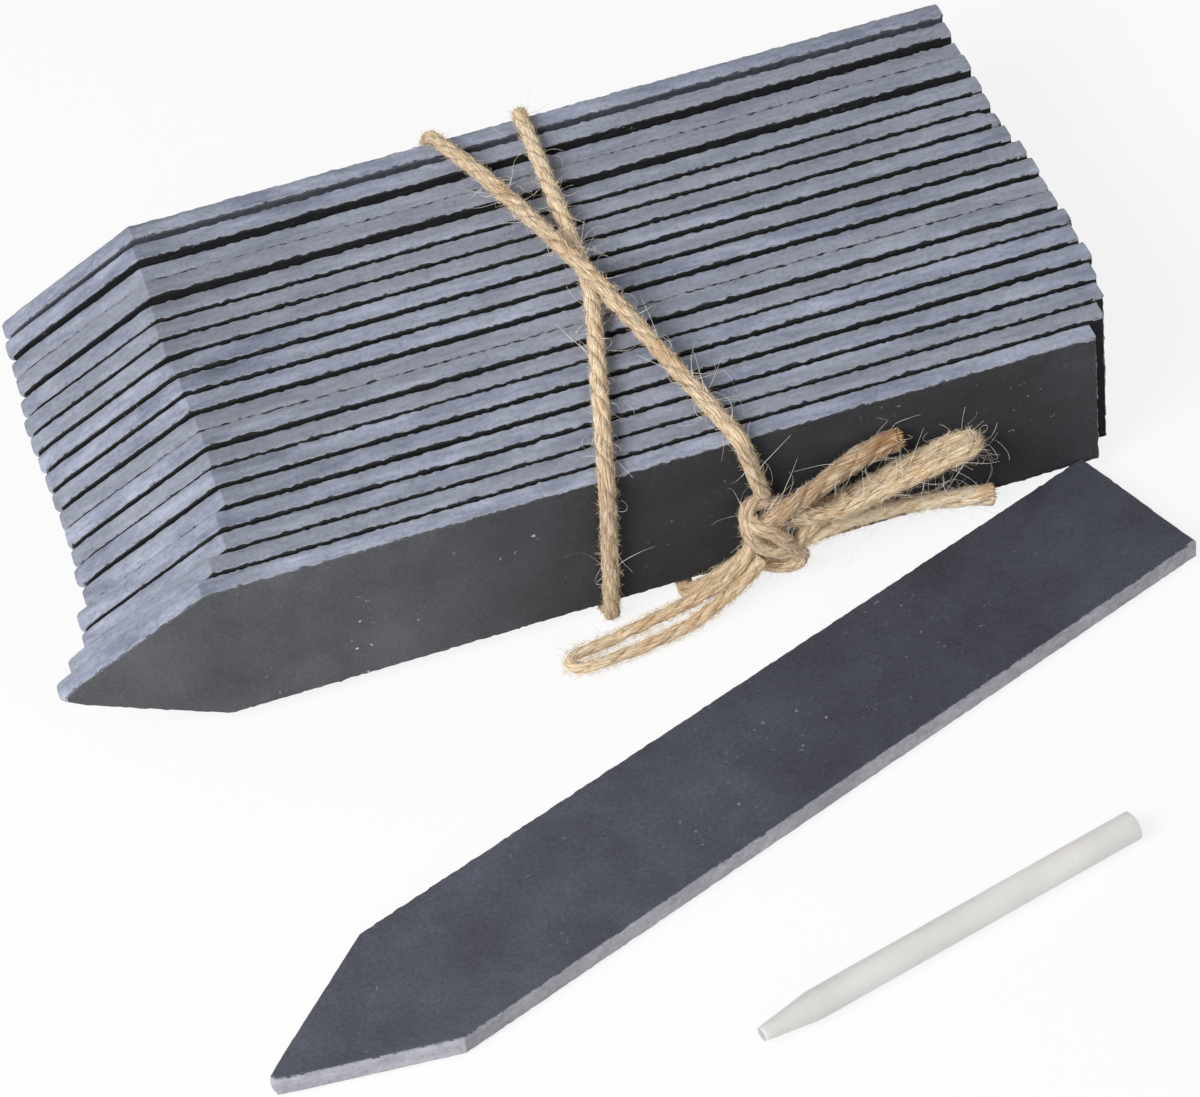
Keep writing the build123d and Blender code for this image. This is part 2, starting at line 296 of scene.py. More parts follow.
def slate_sawn(name, dark, light, dusty):
    """Slate as the saw leaves it: pale and dusty, with soft saw marks and small pits."""
    material, tree, place = new_material(name)
    drawn = node(tree, "Mapping", {"Vector": place, "Rotation": (0.0, 0.25, 0.35),
                                   "Scale": (0.3, 1, 1)})
    _, shade = patches(tree, drawn, 1000 / 6, 8.0, 0.68, (0.3, 0.7))
    struck = node(tree, "Mix", {0: shade, 6: colour(dark), 7: colour(light)}, data_type="RGBA")
    # Each stake in the bundle has its own tone, since this noise is long along X and short in Y
    own = node(tree, "Mapping", {"Vector": place, "Scale": (0.03, 1, 0.05)})
    _, greyed = patches(tree, own, 1000 / 7, 1.0, 0.5, (0.42, 0.62), (0.0, 0.75))
    body = node(tree, "Mix", {0: greyed, 6: struck, 7: colour(dusty)}, data_type="RGBA")
    # Smears of stone dust run with the cut, about 1 mm wide
    across = node(tree, "Mapping", {"Vector": place, "Rotation": (0.0, 0.0, 0.12),
                                    "Scale": (0.16, 1, 0.6)})
    marks, mark_light = patches(tree, across, 1000 / 1.3, 3.0, 0.55, (0.3, 0.7), (0.86, 1.12))
    grain, grain_light = patches(tree, place, 1000 / 0.9, 3.0, 0.7, (0.3, 0.7), (0.87, 1.13))
    lit = node(tree, "Math", {0: mark_light, 1: grain_light}, operation="MULTIPLY")
    # Painted shade: the flats just behind the shoulder, 29.5 mm from the tip, are darker than the
    # slanted cut, which faces the key light, and they lighten again further back
    reach = node(tree, "Attribute", {}, attribute_name="reach").outputs["Fac"]
    step, regain = (
        node(tree, "MapRange", {"Value": reach, "From Min": start, "From Max": stop,
                                "To Min": left, "To Max": right})
        for start, stop, left, right in ((29.3, 29.7, 1.0, 0.8), (29.7, 66, 0.0, 0.23)))
    painted_shoulder_shade = node(tree, "Math", {0: step, 1: regain}, operation="ADD")
    shone = node(tree, "Math", {0: lit, 1: painted_shoulder_shade}, operation="MULTIPLY")
    marked = node(tree, "VectorMath", {0: body, "Scale": shone}, operation="SCALE")
    pits = node(tree, "MapRange", {"Value": grain, "From Min": 0.3, "From Max": 0.42,
                                   "To Min": 0.24, "To Max": 0.0})
    pitted = node(tree, "Mix", {0: pits, 6: marked, 7: colour("#565a67")}, data_type="RGBA")
    rough = node(tree, "Bump", {"Strength": 0.5, "Distance": 0.15 * MM, "Height": grain})
    sawn = node(tree, "Bump", {"Strength": 0.4, "Distance": 0.2 * MM, "Height": marks,
                               "Normal": rough})
    return surfaced(material, {"Base Color": pitted, "Roughness": 0.85, "IOR": 1.5,
                               "Specular IOR Level": 0.3, "Normal": sawn})


def slate_chipped(name):
    """Slate where the rim has flaked: patches of the dark stone and of pale bruised edge."""
    material, tree, place = new_material(name)
    cloud, shade = patches(tree, place, 1000 / 1.6, 4.0, 0.7, (0.37, 0.50))
    body = node(tree, "Mix", {0: shade, 6: colour("#33343a"), 7: colour("#8f909a")},
                data_type="RGBA")
    rough = node(tree, "Bump", {"Strength": 0.6, "Distance": 0.25 * MM, "Height": cloud})
    return surfaced(material, {"Base Color": body, "Roughness": 0.75, "IOR": 1.5,
                               "Normal": rough})


def pencil_stone(name, dark, light):
    """Soapstone as it is ground for slate pencils: milky, grey-flecked, with a powdery sheen."""
    material, tree, place = new_material(name)
    _, shade = patches(tree, place, 1000 / 14, 4.0, 0.5, (0.35, 0.65))
    body = node(tree, "Mix", {0: shade, 6: colour(dark), 7: colour(light)}, data_type="RGBA")
    _, warm = patches(tree, place, 1000 / 22, 1.0, 0.5, (0.52, 0.72), (0.0, 0.5))
    tinted = node(tree, "Mix", {0: warm, 6: body, 7: colour("#dfd5cd")}, data_type="RGBA")
    grain, flecks = patches(tree, place, 1000 / 0.9, 4.0, 0.7, (0.28, 0.36), (0.45, 0.0))
    flecked = node(tree, "Mix", {0: flecks, 6: tinted, 7: colour("#a9aaa4")}, data_type="RGBA")
    # Painted shade: the point end is made a little darker than the shank, over 45 mm, against the
    # key light that falls brightest there
    reach = node(tree, "SeparateXYZ", {"Vector": place})
    painted_tip_shade = node(tree, "MapRange", {"Value": reach, "From Min": -8 * MM,
                                      "From Max": 37 * MM, "To Min": 0.8, "To Max": 0.98})
    toned = node(tree, "VectorMath", {0: flecked, "Scale": painted_tip_shade}, operation="SCALE")
    rough = node(tree, "Bump", {"Strength": 0.4, "Distance": 0.1 * MM, "Height": grain})
    return surfaced(material, {
        "Base Color": toned, "Roughness": 0.55, "IOR": 1.55, "Normal": rough,
        "Sheen Weight": 0.4, "Sheen Roughness": 0.4, "Subsurface Weight": 1.0,
        "Subsurface Radius": (1.0, 1.0, 0.95), "Subsurface Scale": 6.0 * MM})


def jute(name):
    """Three-ply jute: straw and tan fibres along the twine, brown down between the plies."""
    material, tree, place = new_material(name)
    lay = node(tree, "UVMap", {}, uv_map="lay")
    # The map is in millimetres round and along: streaks 0.3 mm wide and 5 mm long
    drawn_out = node(tree, "Mapping", {"Vector": lay, "Scale": (1, 0.06, 1)})
    streaks, shade = patches(tree, drawn_out, 3.4, 4.0, 0.65, (0.34, 0.62))
    bundles = node(tree, "Mix", {0: shade, 6: colour("#8b6a42"), 7: colour("#f8e4c5")},
                   data_type="RGBA")
    # Single fibres, 0.1 mm wide
    fine = node(tree, "Mapping", {"Vector": lay, "Scale": (1, 0.07, 1)})
    _, thread_light = patches(tree, fine, 9.0, 3.0, 0.7, (0.3, 0.7), (0.48, 1.42))
    body = node(tree, "VectorMath", {0: bundles, "Scale": thread_light}, operation="SCALE")
    _, warm = patches(tree, place, 1000 / 9, 2.0, 0.5, (0.45, 0.7), (0.0, 0.45))
    varied = node(tree, "Mix", {0: warm, 6: body, 7: colour("#b98f62")}, data_type="RGBA")
    # Dirt and shadow lie in the groove between two plies, and fuzz hides it in places
    groove, pale, browned = (node(tree, "Attribute", {}, attribute_name=kept).outputs["Fac"]
                             for kept in ("groove", "pale", "stain"))
    depth = node(tree, "MapRange", {"Value": groove, "From Min": 0.45, "From Max": 1.0,
                                    "To Min": 0.0, "To Max": 0.85})
    _, open_here = patches(tree, place, 1000 / 2.6, 2.0, 0.5, (0.42, 0.60), (0.08, 0.85))
    deep = node(tree, "Math", {0: depth, 1: open_here}, operation="MULTIPLY")
    lined = node(tree, "Mix", {0: deep, 6: varied, 7: colour("#523a22")}, data_type="RGBA")
    # Each stretch carries how brown and how pale it is; on the lower end the paleness is painted
    # light
    soaked = node(tree, "MapRange", {"Value": streaks, "From Min": 0.35, "From Max": 0.65,
                                     "To Min": 1.0, "To Max": 0.35})
    stain = node(tree, "Math", {0: browned, 1: soaked}, operation="MULTIPLY")
    stained = node(tree, "Mix", {0: stain, 6: lined, 7: colour("#9a6630")}, data_type="RGBA")
    toned = node(tree, "VectorMath", {0: stained, "Scale": pale}, operation="SCALE")
    held = node(tree, "VectorMath", {0: toned, 1: (0.95, 0.86, 0.74)}, operation="MINIMUM")
    fibre = node(tree, "Bump", {"Strength": 0.9, "Distance": 0.25 * MM, "Height": streaks})
    return surfaced(material, {"Base Color": held, "Roughness": 0.9, "IOR": 1.5,
                               "Specular IOR Level": 0.25, "Sheen Weight": 0.25,
                               "Sheen Roughness": 0.5, "Normal": fibre})


def loose_fibre(name, low, high):
    """Single jute fibres that stand out of the twine, paler than the twine itself."""
    material, tree, place = new_material(name)
    patch = node(tree, "TexNoise", {"Vector": place, "Scale": 1000 / 3, "Detail": 1.0})
    body = node(tree, "Mix", {0: patch, 6: colour(low), 7: colour(high)}, data_type="RGBA")
    return surfaced(material, {"Base Color": body, "Roughness": 0.6, "IOR": 1.5,
                               "Specular IOR Level": 0.3})


# Painted light and shade on the riven stone along X: a fade and a lift, each from where to where
# in millimetres, and from what share to what. The foremost stake is painted lighter at its left
# end and darker towards the bow. The loose stake is painted darker where the bundle shades it.
# Both are lifted near their right ends, and the even tone paints nothing
EVEN_TONE = ((-100, 100, 1.0, 1.0), (100, 110, 0.0, 0.0))
FRONT_PAINTED_LIGHT = ((-49, 11, 1.14, 0.44), (72, 94, 0.0, 0.2))
LOOSE_PAINTED_SHADE = ((-32, 43, 1.2, 0.82), (54, 86, 0.0, 0.2))
MATERIALS = {
    # Painted shade: the riven faces inside the bundle are near-black, much darker than the stone's
    # own grey, to stand for the deep shade in the narrow gaps between the stakes
    "riven": slate_riven("slate_riven_painted_gap_shade", "#111214", "#1b1c1f", 0.3, EVEN_TONE),
    "riven_back": slate_riven("slate_riven_matt", "#3c3d46", "#4c4e59", 0.5, EVEN_TONE),
    "riven_front": slate_riven("slate_riven_grey", "#424346", "#535459", 1.0, FRONT_PAINTED_LIGHT),
    "riven_loose": slate_riven("slate_riven_blue", "#3c3d46", "#4c4e59", 0.35, LOOSE_PAINTED_SHADE),
    # Stone dust makes the sawn edges pale, and it is bluer on the tied stakes
    "sawn": slate_sawn("slate_sawn_dusty", "#6c7285", "#aeb4c4", "#8b8f9a"),
    "sawn_grey": slate_sawn("slate_sawn_grey", "#8c8d95", "#b7b7bf", "#a3a3aa"),
    "chipped": slate_chipped("slate_rim_flaked"),
    # The pencil's turned shank is clean, and its cut end is painted darker, painted shade against
    # the key light that strikes it full on
    "pencil": pencil_stone("soapstone_ground", "#d1d2cf", "#dedddb"),
    "pencil_cut": pencil_stone("soapstone_cut_end_painted_shade", "#9fa09b", "#adada9"),
    # Fibres catch the light more the thinner they are, and a cut end shows the brown inside
    "jute": jute("jute_three_ply"),
    "fibre": loose_fibre("jute_loose_fibre", "#e4d7bd", "#fffdf6"),
    "fuzz": loose_fibre("jute_short_fuzz", "#c9a775", "#f5e5c6"),
    "brush": loose_fibre("jute_cut_fibre", "#8f5f2f", "#dcb985"),
}


# Slate stakes

def deselect():
    """Nothing is selected and no object is active."""
    bpy.ops.object.select_all(action="DESELECT")
    bpy.context.view_layer.objects.active = None


def make_active(piece):
    """Only this piece is selected, and it is active."""
    deselect()
    piece.select_set(True)
    bpy.context.view_layer.objects.active = piece


def pick(piece, kind, test):
    """Selects only the edges or the faces of a piece that pass a test, in edit mode."""
    cage = bmesh.from_edit_mesh(piece.data)
    for part in getattr(cage, kind):
        part.select_set(False)
    for part in getattr(cage, kind):
        if test(part):
            part.select_set(True)
    bmesh.update_edit_mesh(piece.data)


def run_of(edge):
    """The way from one end of an edge to the other."""
    return edge.verts[1].co - edge.verts[0].co


def runs_along(direction, shortest, longest):
    """A test for edges along a direction whose length lies between two values."""
    direction = Vector(direction).normalized()

    def test(edge):
        run = run_of(edge)
        within = shortest < run.length < longest
        return within and abs(run.dot(direction)) > 0.9995 * run.length
    return test


def hold_nose(blank, inset_by, lean):
    """Keeps the corners that an inset made near the tip on their own side of the middle."""
    cage = bmesh.from_edit_mesh(blank.data)
    for face in cage.faces:
        if not face.select:
            continue
        drawn = inset_by + (FRONT_CHIP if face.normal.z > 0 else BACK_CHIP)
        short_by = drawn * math.hypot(1, lean) - TIP_FLAT / 2
        for corner in face.verts:
            if corner.co.x < NOSE_REACH * MM:
                ends = [edge.other_vert(corner).co for edge in corner.link_edges]
                side = max(ends, key=lambda end: end.x).y
                back = max(drawn, (short_by + NOSE_GAP) / lean)
                corner.co.x = back * MM
                corner.co.y = math.copysign((lean * back - short_by) * MM, side)
    bmesh.update_edit_mesh(blank.data)


def carve_blank():
    """One slate blank along X with its tip at zero: sawn to its point, bevelled and cut fine."""
    long, wide, thick = STAKE_LENGTH * MM, STAKE_WIDTH * MM, STAKE_THICKNESS * MM
    deselect()
    bpy.ops.mesh.primitive_cube_add(size=1, location=(long / 2, 0, thick / 2))
    blank = bpy.context.object
    blank.name = "slate_blank"
    blank.scale = (long, wide, thick)
    bpy.ops.object.transform_apply(location=True, rotation=True, scale=True)
    rise = wide / 2 - TIP_FLAT / 2 * MM
    slope = Vector((POINT_LENGTH * MM, rise, 0)).normalized()
    bpy.ops.object.mode_set(mode="EDIT")
    bpy.ops.mesh.select_mode(type="EDGE")
    for side in (1, -1):
        bpy.ops.mesh.select_all(action="SELECT")
        bpy.ops.mesh.bisect(plane_co=(0, side * TIP_FLAT / 2 * MM, 0),
                            plane_no=(-slope.y, side * slope.x, 0), use_fill=True,
                            clear_outer=True, threshold=TOUCH)
    for level, chip in ((thick, FRONT_CHIP), (0, BACK_CHIP)):
        pick(blank, "edges", lambda edge: all(abs(end.co.z - level) < TOUCH
                                              for end in edge.verts))
        bpy.ops.mesh.bevel(offset=chip * MM, segments=2, profile=0.5, affect="EDGES")
    bpy.ops.mesh.select_mode(type="FACE")
    inset_by = 0
    for ring in RIM_RINGS:
        pick(blank, "faces", lambda face: len(face.verts) > 4 and abs(face.normal.z) > 0.99)
        bpy.ops.mesh.inset(thickness=ring * MM, use_individual=True)
        inset_by += ring
        hold_nose(blank, inset_by, slope.y / slope.x)
    bpy.ops.mesh.select_mode(type="EDGE")
    # The edges' direction, their least and greatest length, and how often they are cut
    cuts = (
        ((0, 0, 1), 3, 6, 4),
        ((slope.x, slope.y, 0), 25, 40, 32),
        ((slope.x, -slope.y, 0), 25, 40, 32),
        ((0, 1, 0), 25, 32, 30),
        ((1, 0, 0), 100, 220, 12),
        ((1, 0, 0), 8, 20, 18),
    )
    for direction, shortest, longest, count in cuts:
        pick(blank, "edges", runs_along(direction, shortest * MM, longest * MM))
        bpy.ops.mesh.subdivide(number_cuts=count)
    bpy.ops.object.mode_set(mode="OBJECT")
    for slot in ("riven", "sawn", "chipped"):
        blank.data.materials.append(MATERIALS[slot])
    for face in blank.data.polygons:
        upright = abs(face.normal.z)
        face.material_index = 0 if upright > 0.9 else 1 if upright < 0.2 else 2
    return blank


def rim_weights(blank):
    """Vertex groups for the rims: how strongly each row of points flakes off."""
    thick = STAKE_THICKNESS * MM
    groups = {name: blank.vertex_groups.new(name=name) for name in ("rim", "front", "back")}
    inner = set()
    for face in blank.data.polygons:
        if face.area > WIDE_FACE:
            inner.update(face.vertices)
    for vertex in blank.data.vertices:
        if vertex.index in inner:
            continue
        # The saw left the slanted edges cleaner than the long ones
        share = 0.45 if vertex.co.x < (POINT_LENGTH - 0.5) * MM else 1.0
        to_face = min(vertex.co.z, thick - vertex.co.z)
        if to_face < TOUCH:
            groups["rim"].add([vertex.index], 0.8 * share, "REPLACE")
        elif to_face < RIM_DEPTH * MM:
            side = "front" if vertex.co.z > thick / 2 else "back"
            for name in ("rim", side):
                groups[name].add([vertex.index], share, "REPLACE")


def flake_texture(name, size, contrast):
    """Cloud noise of a size in millimetres, which drives how a surface flakes."""
    texture = bpy.data.textures.new(name, "CLOUDS")
    texture.noise_scale = size * MM
    texture.noise_depth = 3
    texture.contrast = contrast
    return texture


def displace(piece, texture, level, strength, direction, group=""):
    """Moves a piece's points by a texture, by a strength in millimetres, and applies it."""
    make_active(piece)
    modifier = piece.modifiers.new("worn", "DISPLACE")
    modifier.texture = texture
    modifier.texture_coords = "LOCAL"
    modifier.mid_level = level
    modifier.strength = strength * MM
    modifier.direction = direction
    modifier.vertex_group = group
    bpy.ops.object.modifier_apply(modifier=modifier.name)


def wear_corner(piece, corner, reach):
    """Rubs one corner of a stake round, on all points within reach of it."""
    make_active(piece)
    bpy.ops.object.mode_set(mode="EDIT")
    bpy.ops.mesh.select_mode(type="VERT")
    cage = bmesh.from_edit_mesh(piece.data)
    for vertex in cage.verts:
        near = (vertex.co.x - corner[0]) ** 2 + (vertex.co.y - corner[1]) ** 2
        vertex.select_set(near < reach ** 2)
    bmesh.update_edit_mesh(piece.data)
    bpy.ops.mesh.vertices_smooth(factor=0.5, repeat=12)
    bpy.ops.object.mode_set(mode="OBJECT")


def fit_blank(piece, size, wear):
    """Fits a copy of the blank to a stake's length, width and thickness, and dulls its nose."""
    length, width, thickness = size
    co = np.zeros(len(piece.data.vertices) * 3)
    piece.data.vertices.foreach_get("co", co)
    co = co.reshape(-1, 3)
    point = POINT_LENGTH * MM
    stretch = (length - point) / (STAKE_LENGTH * MM - point)
    co[:, 0] = np.where(co[:, 0] > point, point + (co[:, 0] - point) * stretch, co[:, 0])
    # The nose is knocked off most at the face, half as much at the back, and more on one
    # stake than on the next
    height = co[:, 2] / (STAKE_THICKNESS * MM)
    depth = np.clip(height * 2.2 - 1.2, 0, 1) ** 2 + 0.5 * np.clip(1 - height * 4, 0, 1)
    near_tip = np.clip(1 - co[:, 0] / (WORN_REACH * MM), 0, 1)
    co[:, 0] += wear * NOSES.uniform(*NOSE_KNOCK) * depth * near_tip * MM
    co[:, 1] *= width / (STAKE_WIDTH * MM)
    co[:, 2] *= thickness / (STAKE_THICKNESS * MM)
    piece.data.vertices.foreach_set("co", co.ravel())
    reach = piece.data.attributes.new("reach", "FLOAT", "POINT")
    reach.data.foreach_set("value", co[:, 0] / MM)


def place_stake(name, node_name, size, to_place, flake_axis, worn=None, wear=1.0):
    """A copy of the blank, fitted to one stake's size, set in its place and flaked there."""
    piece = bpy.data.objects.new(name, blank.data.copy())
    bpy.context.scene.collection.objects.link(piece)
    for group in blank.vertex_groups:
        piece.vertex_groups.new(name=group.name)
    if worn is not None:
        wear_corner(piece, worn, WORN_REACH * MM)
    fit_blank(piece, size, wear)
    piece.data.transform(to_place)
    piece.data.update()
    # The front of a standing stake faces back along Y, and that of a lying one faces up
    sign = -1 if flake_axis == "Y" else 1
    displace(piece, FLAKES, 0.75, wear * 0.4, "NORMAL", "rim")
    displace(piece, NOTCHES, 0.75, sign * wear * 0.85, flake_axis, "front")
    displace(piece, RAGS, 0.75, -sign * wear * 0.4, flake_axis, "back")
    make_active(piece)
    bpy.ops.object.shade_smooth_by_angle(angle=math.radians(20))
    for face in piece.data.polygons:
        if face.area > WIDE_FACE:
            face.use_smooth = False
    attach(piece, node_name)
    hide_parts(node_name)
    return piece


# The eighth stake has a worn shoulder and the seventh a worn end corner, both on top
WORN = {
    8: (POINT_LENGTH * MM, STAKE_WIDTH / 2 * MM),
    7: (STAKE_LENGTH * MM, STAKE_WIDTH / 2 * MM),
}
# The rearmost and the foremost stake show their riven faces; the rest keep the near-black riven
# material, painted shade for the gaps
SHOWN_FACES = {1: "riven_back", 19: "riven_front"}
FLAKES = flake_texture("rim_flakes", 1.1, 1.8)
NOTCHES = flake_texture("front_notches", 1.5, 1.6)
RAGS = flake_texture("back_notches", 1.7, 1.4)
blank = carve_blank()
rim_weights(blank)
for number in range(1, 20):
    low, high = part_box(f"stake_{number:02d}")
    upright = placed((1, 0, 0), (0, 0, 1), (0, -1, 0), (low.x, high.y, (low.z + high.z) / 2))
    size = (high.x - low.x, high.z - low.z, high.y - low.y)
    stake = place_stake(f"slate_stake_{number:02d}", f"stake_{number:02d}", size, upright, "Y",
                        WORN.get(number))
    stake.data.materials[0] = MATERIALS[SHOWN_FACES.get(number, "riven")]

along, across = lying_ways(LOOSE_TURN)
tip = in_bundle(*LOOSE_CORNER, LOOSE_RISE)
tip = tip - along * STAKE_LENGTH * MM - across * STAKE_WIDTH / 2 * MM
size = (STAKE_LENGTH * MM, STAKE_WIDTH * MM, LOOSE_THICKNESS * MM)
loose = place_stake("slate_stake_loose", "loose_stake", size,
                    placed(along, across, (0, 0, 1), tip), "Z", wear=LOOSE_WEAR)
loose.data.materials[0] = MATERIALS["riven_loose"]
loose.data.materials[1] = MATERIALS["sawn_grey"]
bpy.data.objects.remove(blank)


# The slate pencil

def grind_pencil():
    """The pencil: a turned stick, its point cut by hand and its blunt end rounded off."""
    shank = (PENCIL_LENGTH - PENCIL_TAPER) * MM
    deselect()
    bpy.ops.mesh.primitive_cylinder_add(vertices=48, radius=PENCIL_DIAMETER / 2 * MM,
                                        depth=shank, end_fill_type="NGON")
    piece = bpy.context.object
    piece.name = "slate_pencil_stick"
    bpy.ops.object.mode_set(mode="EDIT")
    bpy.ops.mesh.select_mode(type="FACE")
    pick(piece, "faces", lambda face: face.normal.z < -0.9)
    bpy.ops.mesh.extrude_region_move(
        TRANSFORM_OT_translate={"value": (0, 0, -PENCIL_TAPER * MM)})
    narrow = PENCIL_TIP_DIAMETER / PENCIL_DIAMETER
    bpy.ops.transform.resize(value=(narrow, narrow, 1),
                             center_override=(0, 0, -shank / 2 - PENCIL_TAPER * MM))
    bpy.ops.mesh.inset(thickness=0.25 * MM)
    bpy.ops.transform.translate(value=(0, 0, -0.12 * MM))
    bpy.ops.mesh.inset(thickness=0.5 * MM)
    pick(piece, "faces", lambda face: face.normal.z > 0.9)
    bpy.ops.mesh.inset(thickness=0.5 * MM)
    bpy.ops.transform.translate(value=(0, 0, 0.3 * MM))
    bpy.ops.mesh.inset(thickness=0.8 * MM)
    bpy.ops.mesh.select_mode(type="EDGE")
    pick(piece, "edges", lambda edge: abs(run_of(edge).normalized().z) > 0.99
         and run_of(edge).length > 40 * MM)
    bpy.ops.mesh.subdivide(number_cuts=50)
    pick(piece, "edges", lambda edge: 8 * MM < run_of(edge).length < 20 * MM)
    bpy.ops.mesh.subdivide(number_cuts=12)
    bpy.ops.object.mode_set(mode="OBJECT")
    return piece


pencil = grind_pencil()
stick, aside = lying_ways(PENCIL_TURN)
middle = in_bundle(*PENCIL_TIP, PENCIL_DIAMETER / 2)
middle = middle + stick * (PENCIL_TAPER + (PENCIL_LENGTH - PENCIL_TAPER) / 2) * MM
pencil.data.transform(placed(aside, (0, 0, 1), stick, middle))
for slot in ("pencil", "pencil_cut"):
    pencil.data.materials.append(MATERIALS[slot])
# Faces turned towards the point take the darker cut-end material, which is painted shade
for face in pencil.data.polygons:
    face.material_index = 1 if face.normal.dot(stick) < -0.4 else 0
displace(pencil, flake_texture("hand_ground", 6.0, 1.0), 1.0, 0.07, "NORMAL")
make_active(pencil)
bpy.ops.object.shade_smooth_by_angle(angle=math.radians(35))
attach(pencil, "slate_pencil")
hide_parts("slate_pencil")


# The twine

def twine_line(name, points):
    """The smooth line of a stretch of twine: a NURBS curve with the route's points."""
    drawn = bpy.data.curves.new(name, "CURVE")
    drawn.dimensions = "3D"
    drawn.resolution_u = 40
    spline = drawn.splines.new("NURBS")
    spline.points.add(len(points) - 1)
    for held, place in zip(spline.points, points):
        held.co = (*place, 1)
    spline.order_u = 3
    spline.use_endpoint_u = True
    holder = bpy.data.objects.new(name, drawn)
    bpy.context.scene.collection.objects.link(holder)
    bpy.context.view_layer.update()
    traced = bpy.data.meshes.new_from_object(holder)
    places = np.array([vertex.co for vertex in traced.vertices], float)
    bpy.data.objects.remove(holder)
    bpy.data.meshes.remove(traced)
    return places


def along_line(places, spacing):
    """The line's points at an even spacing, the length to each, its tangents and normals."""
    steps = np.linalg.norm(np.diff(places, axis=0), axis=1)
    keep = np.concatenate(([True], steps > 1e-9))
    places = places[keep]
    lengths = np.concatenate(([0], np.cumsum(np.linalg.norm(np.diff(places, axis=0), axis=1))))
    count = max(8, int(lengths[-1] / spacing))
    reach = np.linspace(0, lengths[-1], count + 1)
    line = np.stack([np.interp(reach, lengths, places[:, axis]) for axis in range(3)], axis=1)
    tangents = np.gradient(line, axis=0)
    tangents /= np.linalg.norm(tangents, axis=1)[:, None]
    normals = np.zeros_like(line)
    # The first normal may point anywhere, and each of the rest is the last one carried on
    start = np.cross(tangents[0], (0.3, 0.2, 0.93))
    normals[0] = start / np.linalg.norm(start)
    for i in range(1, len(line)):
        carried = normals[i - 1] - tangents[i] * normals[i - 1].dot(tangents[i])
        normals[i] = carried / np.linalg.norm(carried)
    return line, reach, tangents, normals


def add_tied(mesh, *made_of):
    """An object of a mesh in these materials that rides on the tie as jute twine."""
    for slot in made_of:
        mesh.materials.append(MATERIALS[slot])
    piece = bpy.data.objects.new(mesh.name, mesh)
    bpy.context.scene.collection.objects.link(piece)
    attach(piece, "tie")
    return piece


def lay_twine(name, points, diameter, pitch, girth, tint):
    """Three plies laid up into one twine along a route, as a closed mesh with its lay mapped."""
    line, reach, tangents, normals = along_line(twine_line(name, points), RING_SPACING * MM)
    binormals = np.cross(tangents, normals)
    sides = 3 * PLY_SIDES
    radius = diameter / 2 * MM
    ply = 1 - PLY_OFFSET
    total = reach[-1]
    shares, widths = zip(*girth)
    rings = []
    grooves = []
    seed = len(name) * 7.3 + len(points)
    for i, centre in enumerate(line):
        wide = np.interp(reach[i] / total, shares, widths) * radius
        slack = SLACK * noise.noise(Vector((reach[i] / (SLACK_OVER * MM), seed, 3.1)))
        turned = -2 * math.pi * (reach[i] / (pitch * MM) + slack)
        for side in range(sides):
            around = 2 * math.pi * side / sides + turned
            number = side // PLY_SIDES
            off = (side % PLY_SIDES / PLY_SIDES - 0.5) * 2 * math.pi / 3
            lump = noise.noise(Vector((reach[i] / (LUMP_OVER * MM), number * 7.7, seed)))
            rub = noise.noise(Vector((reach[i] / (RUB_OVER * MM), side * 0.83, seed + 40)))
            aslant = PLY_OFFSET * math.sin(off)
            out = PLY_OFFSET * math.cos(off) + math.sqrt(ply ** 2 - aslant ** 2)
            size = wide * out * (1 + LUMP * lump + RUB * rub)
            rings.append(centre + size * (math.cos(around) * normals[i]
                                          + math.sin(around) * binormals[i]))
            grooves.append(min(1.0, (1 - out) / 0.2))
    count = len(line)
    faces = []
    for i in range(count - 1):
        for side in range(sides):
            beside = (side + 1) % sides
            faces.append((i * sides + side, i * sides + beside,
                          (i + 1) * sides + beside, (i + 1) * sides + side))
    # Each end closes over a low crown of cut fibres
    for end, sign in ((0, -1), (count - 1, 1)):
        swell = END_SWELL * MM * sign * tangents[end]
        first = len(rings)
        for side in range(sides):
            ragged = 0.25 * noise.noise(Vector((side * 1.7, end, seed)))
            inward = line[end] + (rings[end * sides + side] - line[end]) * 0.6
            rings.append(inward + swell * (0.5 + ragged))
        crown = len(rings)
        rings.append(line[end] + swell * 0.6)
        grooves.extend([0.3] * sides + [0.5])
        for side in range(sides):
            beside = (side + 1) % sides
            quad = (end * sides + side, end * sides + beside, first + beside, first + side)
            fan = (first + side, first + beside, crown)
            faces.extend((quad, fan) if sign > 0 else (quad[::-1], fan[::-1]))
    # The twine is pressed flat where it would go through the surface
    co = np.array(rings)
    co[:, 2] = np.maximum(co[:, 2], 0.01 * MM)
    mesh = bpy.data.meshes.new(name)
    mesh.from_pydata(co.tolist(), [], faces)
    crowns = np.repeat((0.0, 1.0), sides + 1)
    shares_all = np.concatenate((np.repeat(reach / total, sides), crowns))
    tint_shares, pale, stain = zip(*tint)
    for label, values in (("groove", grooves),
                          ("pale", np.interp(shares_all, tint_shares, pale)),
                          ("stain", np.interp(shares_all, tint_shares, stain))):
        mesh.attributes.new(label, "FLOAT", "POINT").data.foreach_set("value", values)
    map_lay(mesh, reach, sides, pitch, math.pi * diameter)
    mesh.polygons.foreach_set("use_smooth", [True] * len(mesh.polygons))
    mesh.update()
    return add_tied(mesh, "jute"), (line, tangents, normals, binormals)


